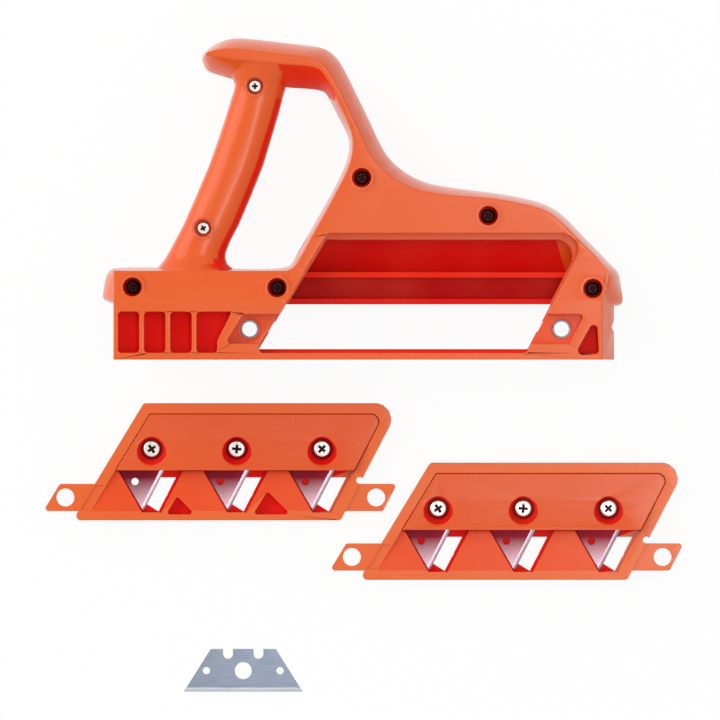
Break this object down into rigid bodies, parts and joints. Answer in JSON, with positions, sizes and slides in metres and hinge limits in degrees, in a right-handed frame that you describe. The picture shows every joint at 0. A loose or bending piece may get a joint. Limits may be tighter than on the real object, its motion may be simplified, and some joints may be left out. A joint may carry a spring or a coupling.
{
  "type": "drywall edge plane",
  "caption": "Hand plane that bevels board edges: two-shell orange body with a D-shaped grip, two screwed blade cassettes for different bevels and a loose trapezoid blade.",
  "frame": {"origin": "middle of the whole set's footprint, at the level of the bench it lies on", "axes": "+X along the sole towards the nose, +Y from the sole up to the top of the handle, +Z from the back of the tool to its front face"},
  "size_m": [0.2778, 0.2852, 0.039],
  "materials": {
    "orange_shell": "moulded glass-filled nylon, satin",
    "orange_cassette": "moulded glass-filled nylon, satin",
    "orange_clamp": "moulded glass-filled nylon, satin",
    "nickel_screw": "nickel plated",
    "black_screw": "blackened",
    "steel_bushing": "turned",
    "blade_steel": "ground carbon steel"
  },
  "bodies": {
    "body": {"front_shell": "orange_shell", "rear_shell": "orange_shell", "shell_screws": "black_screw", "grip_screws": "nickel_screw", "left_bushing": "steel_bushing", "right_bushing": "steel_bushing"},
    "cassette_45": {"frame_45": "orange_cassette", "blade_45_a": "blade_steel", "blade_45_b": "blade_steel", "blade_45_c": "blade_steel"},
    "clamp_45": {"clamp_plate_45": "orange_clamp"},
    "screw_45_a": {"clamp_screw_45_a": "nickel_screw"},
    "screw_45_b": {"clamp_screw_45_b": "nickel_screw"},
    "screw_45_c": {"clamp_screw_45_c": "nickel_screw"},
    "cassette_60": {"frame_60": "orange_cassette", "blade_60_a": "blade_steel", "blade_60_b": "blade_steel", "blade_60_c": "blade_steel"},
    "clamp_60": {"clamp_plate_60": "orange_clamp"},
    "screw_60_a": {"clamp_screw_60_a": "nickel_screw"},
    "screw_60_b": {"clamp_screw_60_b": "nickel_screw"},
    "screw_60_c": {"clamp_screw_60_c": "nickel_screw"},
    "spare": {"spare_blade": "blade_steel"}
  },
  "joints": [
    {"name": "cassette_45_lift", "type": "slide", "parent": "body", "child": "cassette_45", "axis": [0, 0, 1], "range_m": [0, 0.06]},
    {"name": "clamp_45_lift", "type": "slide", "parent": "cassette_45", "child": "clamp_45", "axis": [0, 0, 1], "range_m": [0, 0.02]},
    {"name": "screw_45_a_turn", "type": "hinge", "parent": "clamp_45", "child": "screw_45_a", "pos_m": [-0.09258, -0.03645, 0.0072], "axis": [0, 0, 1], "continuous": true},
    {"name": "screw_45_b_turn", "type": "hinge", "parent": "clamp_45", "child": "screw_45_b", "pos_m": [-0.05538, -0.03645, 0.0072], "axis": [0, 0, 1], "continuous": true},
    {"name": "screw_45_c_turn", "type": "hinge", "parent": "clamp_45", "child": "screw_45_c", "pos_m": [-0.01818, -0.03645, 0.0072], "axis": [0, 0, 1], "continuous": true},
    {"name": "cassette_60_lift", "type": "slide", "parent": "body", "child": "cassette_60", "axis": [0, 0, 1], "range_m": [0, 0.06]},
    {"name": "clamp_60_lift", "type": "slide", "parent": "cassette_60", "child": "clamp_60", "axis": [0, 0, 1], "range_m": [0, 0.02]},
    {"name": "screw_60_a_turn", "type": "hinge", "parent": "clamp_60", "child": "screw_60_a", "pos_m": [0.03252, -0.06245, 0.0072], "axis": [0, 0, 1], "continuous": true},
    {"name": "screw_60_b_turn", "type": "hinge", "parent": "clamp_60", "child": "screw_60_b", "pos_m": [0.06972, -0.06245, 0.0072], "axis": [0, 0, 1], "continuous": true},
    {"name": "screw_60_c_turn", "type": "hinge", "parent": "clamp_60", "child": "screw_60_c", "pos_m": [0.10692, -0.06245, 0.0072], "axis": [0, 0, 1], "continuous": true},
    {"name": "spare_blade_lift", "type": "slide", "parent": "body", "child": "spare", "axis": [0, 0, 1], "range_m": [0, 0.06]}
  ]
}
